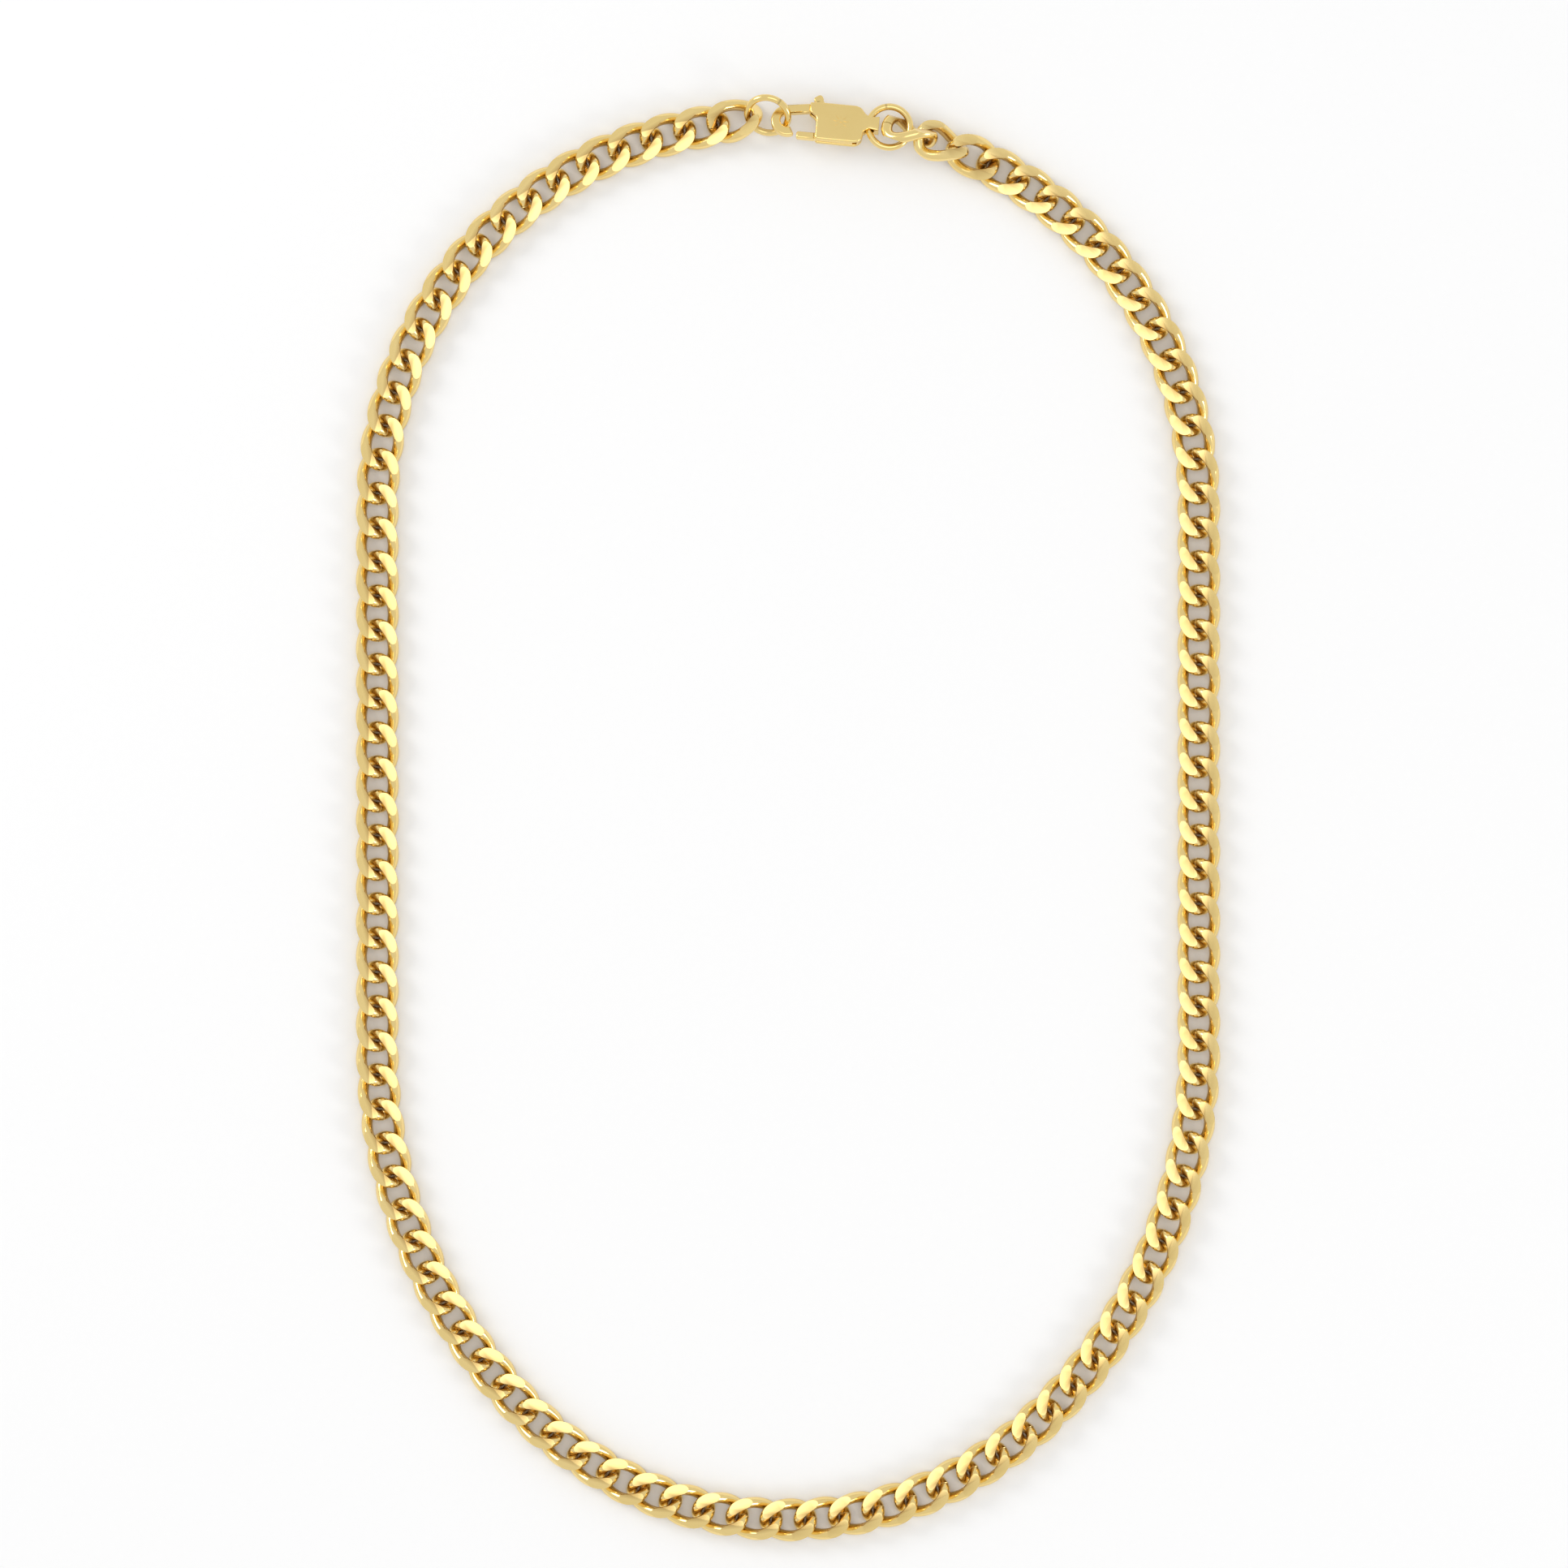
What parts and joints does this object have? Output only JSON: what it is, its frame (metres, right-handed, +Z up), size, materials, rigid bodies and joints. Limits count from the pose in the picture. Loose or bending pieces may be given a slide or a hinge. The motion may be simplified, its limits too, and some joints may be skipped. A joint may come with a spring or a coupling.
{
  "type": "chain necklace",
  "caption": "Flat curb chain necklace, closed at the top by a trigger clasp between two jump rings; gold finish.",
  "frame": {"origin": "on the surface it lies on, below the middle of the closed loop", "axes": "+Y from the lowest link to the clasp, +X to the right, +Z up from the surface"},
  "size_m": [0.1382, 0.2312, 0.0069],
  "materials": {
    "chain": "polished gold",
    "clasp": "polished gold",
    "lever": "polished gold",
    "rings": "polished gold",
    "spring": "satin"
  },
  "bodies": {
    "link_bottom": {"link_bottom": "chain"},
    "links_right_01_02": {"links_right_01_02": "chain"},
    "links_right_03_04": {"links_right_03_04": "chain"},
    "links_right_05_06": {"links_right_05_06": "chain"},
    "links_right_07_08": {"links_right_07_08": "chain"},
    "links_right_09_10": {"links_right_09_10": "chain"},
    "links_right_11_12": {"links_right_11_12": "chain"},
    "links_right_13_14": {"links_right_13_14": "chain"},
    "links_right_15_16": {"links_right_15_16": "chain"},
    "links_right_17_18": {"links_right_17_18": "chain"},
    "links_right_19_20": {"links_right_19_20": "chain"},
    "links_right_21_22": {"links_right_21_22": "chain"},
    "links_right_23_24": {"links_right_23_24": "chain"},
    "links_right_25_26": {"links_right_25_26": "chain"},
    "links_right_27_28": {"links_right_27_28": "chain"},
    "links_right_29_30": {"links_right_29_30": "chain"},
    "links_right_31_32": {"links_right_31_32": "chain"},
    "links_right_33_34": {"links_right_33_34": "chain"},
    "links_right_35_36": {"links_right_35_36": "chain"},
    "links_right_37_38": {"links_right_37_38": "chain"},
    "links_right_39_40": {"links_right_39_40": "chain"},
    "links_right_41_42": {"links_right_41_42": "chain"},
    "links_right_43_44": {"links_right_43_44": "chain"},
    "links_right_45_46": {"links_right_45_46": "chain"},
    "links_right_47_48": {"links_right_47_48": "chain"},
    "links_right_49_50": {"links_right_49_50": "chain"},
    "link_right_51": {"link_right_51": "chain"},
    "links_left_01_02": {"links_left_01_02": "chain"},
    "links_left_03_04": {"links_left_03_04": "chain"},
    "links_left_05_06": {"links_left_05_06": "chain"},
    "links_left_07_08": {"links_left_07_08": "chain"},
    "links_left_09_10": {"links_left_09_10": "chain"},
    "links_left_11_12": {"links_left_11_12": "chain"},
    "links_left_13_14": {"links_left_13_14": "chain"},
    "links_left_15_16": {"links_left_15_16": "chain"},
    "links_left_17_18": {"links_left_17_18": "chain"},
    "links_left_19_20": {"links_left_19_20": "chain"},
    "links_left_21_22": {"links_left_21_22": "chain"},
    "links_left_23_24": {"links_left_23_24": "chain"},
    "links_left_25_26": {"links_left_25_26": "chain"},
    "links_left_27_28": {"links_left_27_28": "chain"},
    "links_left_29_30": {"links_left_29_30": "chain"},
    "links_left_31_32": {"links_left_31_32": "chain"},
    "links_left_33_34": {"links_left_33_34": "chain"},
    "links_left_35_36": {"links_left_35_36": "chain"},
    "links_left_37_38": {"links_left_37_38": "chain"},
    "links_left_39_40": {"links_left_39_40": "chain"},
    "links_left_41_42": {"links_left_41_42": "chain"},
    "links_left_43_44": {"links_left_43_44": "chain"},
    "links_left_45_46": {"links_left_45_46": "chain"},
    "links_left_47_48": {"links_left_47_48": "chain"},
    "links_left_49_50": {"links_left_49_50": "chain"},
    "links_left_51_52": {"links_left_51_52": "chain"},
    "link_left_53": {"link_left_53": "chain"},
    "clasp_body": {"clasp_body": "clasp", "lever_pin": "lever", "lever_spring": "spring"},
    "clasp_lever": {"clasp_lever": "lever"},
    "clasp_ring": {"clasp_ring": "rings"},
    "end_ring": {"end_ring": "rings"}
  },
  "joints": [
    {"name": "hinge_right_01", "type": "hinge", "parent": "link_bottom", "child": "links_right_01_02", "pos_m": [0.00273, -0.11214, 0.00154], "axis": [1, 0, 0], "range_deg": [-12, 12]},
    {"name": "hinge_left_01", "type": "hinge", "parent": "link_bottom", "child": "links_left_01_02", "pos_m": [-0.00273, -0.11214, 0.00154], "axis": [1, 0, 0], "range_deg": [-12, 12]},
    {"name": "hinge_right_02", "type": "hinge", "parent": "links_right_01_02", "child": "links_right_03_04", "pos_m": [0.01355, -0.11062, 0.00154], "axis": [-1, 0, 0], "range_deg": [-12, 12]},
    {"name": "hinge_left_02", "type": "hinge", "parent": "links_left_01_02", "child": "links_left_03_04", "pos_m": [-0.01355, -0.11062, 0.00154], "axis": [-1, 0, 0], "range_deg": [-12, 12]},
    {"name": "hinge_right_03", "type": "hinge", "parent": "links_right_03_04", "child": "links_right_05_06", "pos_m": [0.02391, -0.10714, 0.00154], "axis": [-1, 0, 0], "range_deg": [-12, 12]},
    {"name": "hinge_left_03", "type": "hinge", "parent": "links_left_03_04", "child": "links_left_05_06", "pos_m": [-0.02391, -0.10714, 0.00154], "axis": [-1, 0, 0], "range_deg": [-12, 12]},
    {"name": "hinge_right_04", "type": "hinge", "parent": "links_right_05_06", "child": "links_right_07_08", "pos_m": [0.03344, -0.10181, 0.00154], "axis": [1, 0, 0], "range_deg": [-12, 12]},
    {"name": "hinge_left_04", "type": "hinge", "parent": "links_left_05_06", "child": "links_left_07_08", "pos_m": [-0.03344, -0.10181, 0.00154], "axis": [1, 0, 0], "range_deg": [-12, 12]},
    {"name": "hinge_right_05", "type": "hinge", "parent": "links_right_07_08", "child": "links_right_09_10", "pos_m": [0.04183, -0.09481, 0.00154], "axis": [1, 0, 0], "range_deg": [-12, 12]},
    {"name": "hinge_left_05", "type": "hinge", "parent": "links_left_07_08", "child": "links_left_09_10", "pos_m": [-0.04183, -0.09481, 0.00154], "axis": [1, 0, 0], "range_deg": [-12, 12]},
    {"name": "hinge_right_06", "type": "hinge", "parent": "links_right_09_10", "child": "links_right_11_12", "pos_m": [0.04901, -0.08656, 0.00154], "axis": [-1, 0, 0], "range_deg": [-12, 12]},
    {"name": "hinge_left_06", "type": "hinge", "parent": "links_left_09_10", "child": "links_left_11_12", "pos_m": [-0.04901, -0.08656, 0.00154], "axis": [-1, 0, 0], "range_deg": [-12, 12]},
    {"name": "hinge_right_07", "type": "hinge", "parent": "links_right_11_12", "child": "links_right_13_14", "pos_m": [0.05502, -0.07743, 0.00154], "axis": [-1, 0, 0], "range_deg": [-12, 12]},
    {"name": "hinge_left_07", "type": "hinge", "parent": "links_left_11_12", "child": "links_left_13_14", "pos_m": [-0.05502, -0.07743, 0.00154], "axis": [-1, 0, 0], "range_deg": [-12, 12]},
    {"name": "hinge_right_08", "type": "hinge", "parent": "links_right_13_14", "child": "links_right_15_16", "pos_m": [0.05977, -0.06759, 0.00154], "axis": [1, 0, 0], "range_deg": [-14, 14]},
    {"name": "hinge_left_08", "type": "hinge", "parent": "links_left_13_14", "child": "links_left_15_16", "pos_m": [-0.05977, -0.06759, 0.00154], "axis": [1, 0, 0], "range_deg": [-14, 14]},
    {"name": "hinge_right_09", "type": "hinge", "parent": "links_right_15_16", "child": "links_right_17_18", "pos_m": [0.06317, -0.0572, 0.00154], "axis": [1, 0, 0], "range_deg": [-18, 18]},
    {"name": "hinge_left_09", "type": "hinge", "parent": "links_left_15_16", "child": "links_left_17_18", "pos_m": [-0.06317, -0.0572, 0.00154], "axis": [1, 0, 0], "range_deg": [-18, 18]},
    {"name": "hinge_right_10", "type": "hinge", "parent": "links_right_17_18", "child": "links_right_19_20", "pos_m": [0.06515, -0.04645, 0.00154], "axis": [-1, 0, 0], "range_deg": [-18, 18]},
    {"name": "hinge_left_10", "type": "hinge", "parent": "links_left_17_18", "child": "links_left_19_20", "pos_m": [-0.06515, -0.04645, 0.00154], "axis": [-1, 0, 0], "range_deg": [-18, 18]},
    {"name": "hinge_right_11", "type": "hinge", "parent": "links_right_19_20", "child": "links_right_21_22", "pos_m": [0.0657, -0.03553, 0.00154], "axis": [0, 0, 1], "range_deg": [-12, 12]},
    {"name": "hinge_left_11", "type": "hinge", "parent": "links_left_19_20", "child": "links_left_21_22", "pos_m": [-0.0657, -0.03553, 0.00154], "axis": [0, 0, 1], "range_deg": [-12, 12]},
    {"name": "hinge_right_12", "type": "hinge", "parent": "links_right_21_22", "child": "links_right_23_24", "pos_m": [0.0657, -0.02459, 0.00154], "axis": [0, 0, 1], "range_deg": [-12, 12]},
    {"name": "hinge_left_12", "type": "hinge", "parent": "links_left_21_22", "child": "links_left_23_24", "pos_m": [-0.0657, -0.02459, 0.00154], "axis": [0, 0, 1], "range_deg": [-12, 12]},
    {"name": "hinge_right_13", "type": "hinge", "parent": "links_right_23_24", "child": "links_right_25_26", "pos_m": [0.0657, -0.01365, 0.00154], "axis": [-1, 0, 0], "range_deg": [-18, 18]},
    {"name": "hinge_left_13", "type": "hinge", "parent": "links_left_23_24", "child": "links_left_25_26", "pos_m": [-0.0657, -0.01365, 0.00154], "axis": [-1, 0, 0], "range_deg": [-18, 18]},
    {"name": "hinge_right_14", "type": "hinge", "parent": "links_right_25_26", "child": "links_right_27_28", "pos_m": [0.0657, -0.00271, 0.00154], "axis": [0, 0, 1], "range_deg": [-12, 12]},
    {"name": "hinge_left_14", "type": "hinge", "parent": "links_left_25_26", "child": "links_left_27_28", "pos_m": [-0.0657, -0.00271, 0.00154], "axis": [0, 0, 1], "range_deg": [-12, 12]},
    {"name": "hinge_right_15", "type": "hinge", "parent": "links_right_27_28", "child": "links_right_29_30", "pos_m": [0.0657, 0.00823, 0.00154], "axis": [0, 0, 1], "range_deg": [-12, 12]},
    {"name": "hinge_left_15", "type": "hinge", "parent": "links_left_27_28", "child": "links_left_29_30", "pos_m": [-0.0657, 0.00823, 0.00154], "axis": [0, 0, 1], "range_deg": [-12, 12]},
    {"name": "hinge_right_16", "type": "hinge", "parent": "links_right_29_30", "child": "links_right_31_32", "pos_m": [0.0657, 0.01917, 0.00154], "axis": [1, 0, 0], "range_deg": [-18, 18]},
    {"name": "hinge_left_16", "type": "hinge", "parent": "links_left_29_30", "child": "links_left_31_32", "pos_m": [-0.0657, 0.01917, 0.00154], "axis": [1, 0, 0], "range_deg": [-18, 18]},
    {"name": "hinge_right_17", "type": "hinge", "parent": "links_right_31_32", "child": "links_right_33_34", "pos_m": [0.0657, 0.03011, 0.00154], "axis": [0, 0, 1], "range_deg": [-12, 12]},
    {"name": "hinge_left_17", "type": "hinge", "parent": "links_left_31_32", "child": "links_left_33_34", "pos_m": [-0.0657, 0.03011, 0.00154], "axis": [0, 0, 1], "range_deg": [-12, 12]},
    {"name": "hinge_right_18", "type": "hinge", "parent": "links_right_33_34", "child": "links_right_35_36", "pos_m": [0.0657, 0.04105, 0.00154], "axis": [0, 0, 1], "range_deg": [-12, 12]},
    {"name": "hinge_left_18", "type": "hinge", "parent": "links_left_33_34", "child": "links_left_35_36", "pos_m": [-0.0657, 0.04105, 0.00154], "axis": [0, 0, 1], "range_deg": [-12, 12]},
    {"name": "hinge_right_19", "type": "hinge", "parent": "links_right_35_36", "child": "links_right_37_38", "pos_m": [0.06567, 0.05199, 0.00154], "axis": [1, 0, 0], "range_deg": [-18, 18]},
    {"name": "hinge_left_19", "type": "hinge", "parent": "links_left_35_36", "child": "links_left_37_38", "pos_m": [-0.06567, 0.05199, 0.00154], "axis": [1, 0, 0], "range_deg": [-18, 18]},
    {"name": "hinge_right_20", "type": "hinge", "parent": "links_right_37_38", "child": "links_right_39_40", "pos_m": [0.06436, 0.06284, 0.00154], "axis": [-1, 0, 0], "range_deg": [-18, 18]},
    {"name": "hinge_left_20", "type": "hinge", "parent": "links_left_37_38", "child": "links_left_39_40", "pos_m": [-0.06436, 0.06284, 0.00154], "axis": [-1, 0, 0], "range_deg": [-18, 18]},
    {"name": "hinge_right_21", "type": "hinge", "parent": "links_right_39_40", "child": "links_right_41_42", "pos_m": [0.06114, 0.07328, 0.00154], "axis": [-1, 0, 0], "range_deg": [-16, 16]},
    {"name": "hinge_left_21", "type": "hinge", "parent": "links_left_39_40", "child": "links_left_41_42", "pos_m": [-0.06114, 0.07328, 0.00154], "axis": [-1, 0, 0], "range_deg": [-16, 16]},
    {"name": "hinge_right_22", "type": "hinge", "parent": "links_right_41_42", "child": "links_right_43_44", "pos_m": [0.0561, 0.08297, 0.00154], "axis": [1, 0, 0], "range_deg": [-12, 12]},
    {"name": "hinge_left_22", "type": "hinge", "parent": "links_left_41_42", "child": "links_left_43_44", "pos_m": [-0.0561, 0.08297, 0.00154], "axis": [1, 0, 0], "range_deg": [-12, 12]},
    {"name": "hinge_right_23", "type": "hinge", "parent": "links_right_43_44", "child": "links_right_45_46", "pos_m": [0.04942, 0.09162, 0.00154], "axis": [1, 0, 0], "range_deg": [-12, 12]},
    {"name": "hinge_left_23", "type": "hinge", "parent": "links_left_43_44", "child": "links_left_45_46", "pos_m": [-0.04942, 0.09162, 0.00154], "axis": [1, 0, 0], "range_deg": [-12, 12]},
    {"name": "hinge_right_24", "type": "hinge", "parent": "links_right_45_46", "child": "links_right_47_48", "pos_m": [0.0413, 0.09893, 0.00154], "axis": [-1, 0, 0], "range_deg": [-12, 12]},
    {"name": "hinge_left_24", "type": "hinge", "parent": "links_left_45_46", "child": "links_left_47_48", "pos_m": [-0.0413, 0.09893, 0.00154], "axis": [-1, 0, 0], "range_deg": [-12, 12]},
    {"name": "hinge_right_25", "type": "hinge", "parent": "links_right_47_48", "child": "links_right_49_50", "pos_m": [0.03201, 0.10467, 0.00154], "axis": [-1, 0, 0], "range_deg": [-4, 4]},
    {"name": "hinge_left_25", "type": "hinge", "parent": "links_left_47_48", "child": "links_left_49_50", "pos_m": [-0.03201, 0.10467, 0.00154], "axis": [-1, 0, 0], "range_deg": [-4, 4]},
    {"name": "hinge_right_26", "type": "hinge", "parent": "links_right_49_50", "child": "link_right_51", "pos_m": [0.02197, 0.10863, 0.00332], "axis": [0.9926, -0.1217, 0.0039], "range_deg": [-1, 5]},
    {"name": "ring_swing", "type": "hinge", "parent": "link_right_51", "child": "clasp_ring", "pos_m": [0.01947, 0.11011, 0.00305], "axis": [0.9978, -0.0657, -0.0087], "range_deg": [0, 5]},
    {"name": "clasp_swing", "type": "hinge", "parent": "clasp_ring", "child": "clasp_body", "pos_m": [0.01298, 0.11073, 0.00305], "axis": [0.9986, -0.0517, -0.0127], "range_deg": [-2, 5]},
    {"name": "hinge_left_26", "type": "hinge", "parent": "links_left_49_50", "child": "links_left_51_52", "pos_m": [-0.02184, 0.10867, 0.00154], "axis": [0.9878, 0.1331, 0.0804], "range_deg": [-2, 8]},
    {"name": "hinge_left_27", "type": "hinge", "parent": "links_left_51_52", "child": "link_left_53", "pos_m": [-0.01115, 0.11096, 0.00154], "axis": [0.985, 0.0493, 0.1656], "range_deg": [-2, 8]},
    {"name": "end_ring_swing", "type": "hinge", "parent": "link_left_53", "child": "end_ring", "pos_m": [-0.00492, 0.11247, 0.0025], "axis": [0.9501, -0.2535, 0.182], "range_deg": [-2, 8]},
    {"name": "lever_pivot", "type": "hinge", "parent": "clasp_body", "child": "clasp_lever", "pos_m": [0.00854, 0.10903, 0.00365], "axis": [0.0264, 0.2744, 0.9613], "range_deg": [-20, 0], "stiffness_Nm_per_rad": 0.0005, "springref_deg": 11.46, "deforming": ["lever_spring"]}
  ],
  "couplings": [
    {"joint": "hinge_left_01", "follows": "hinge_right_01", "ratio": 1},
    {"joint": "hinge_left_02", "follows": "hinge_right_02", "ratio": 1},
    {"joint": "hinge_left_03", "follows": "hinge_right_03", "ratio": 1},
    {"joint": "hinge_left_04", "follows": "hinge_right_04", "ratio": 1},
    {"joint": "hinge_left_05", "follows": "hinge_right_05", "ratio": 1},
    {"joint": "hinge_left_06", "follows": "hinge_right_06", "ratio": 1},
    {"joint": "hinge_left_07", "follows": "hinge_right_07", "ratio": 1},
    {"joint": "hinge_left_08", "follows": "hinge_right_08", "ratio": 1},
    {"joint": "hinge_left_09", "follows": "hinge_right_09", "ratio": 1},
    {"joint": "hinge_left_10", "follows": "hinge_right_10", "ratio": 1},
    {"joint": "hinge_left_11", "follows": "hinge_right_11", "ratio": 1},
    {"joint": "hinge_right_12", "follows": "hinge_right_11", "ratio": -1},
    {"joint": "hinge_left_12", "follows": "hinge_right_11", "ratio": -1},
    {"joint": "hinge_left_13", "follows": "hinge_right_13", "ratio": 1},
    {"joint": "hinge_left_14", "follows": "hinge_right_14", "ratio": 1},
    {"joint": "hinge_right_15", "follows": "hinge_right_14", "ratio": -1},
    {"joint": "hinge_left_15", "follows": "hinge_right_14", "ratio": -1},
    {"joint": "hinge_left_16", "follows": "hinge_right_16", "ratio": 1},
    {"joint": "hinge_left_17", "follows": "hinge_right_17", "ratio": 1},
    {"joint": "hinge_right_18", "follows": "hinge_right_17", "ratio": -1},
    {"joint": "hinge_left_18", "follows": "hinge_right_17", "ratio": -1},
    {"joint": "hinge_left_19", "follows": "hinge_right_19", "ratio": 1},
    {"joint": "hinge_left_20", "follows": "hinge_right_20", "ratio": 1},
    {"joint": "hinge_left_21", "follows": "hinge_right_21", "ratio": 1},
    {"joint": "hinge_left_22", "follows": "hinge_right_22", "ratio": 1},
    {"joint": "hinge_left_23", "follows": "hinge_right_23", "ratio": 1},
    {"joint": "hinge_left_24", "follows": "hinge_right_24", "ratio": 1},
    {"joint": "hinge_left_25", "follows": "hinge_right_25", "ratio": 1}
  ]
}
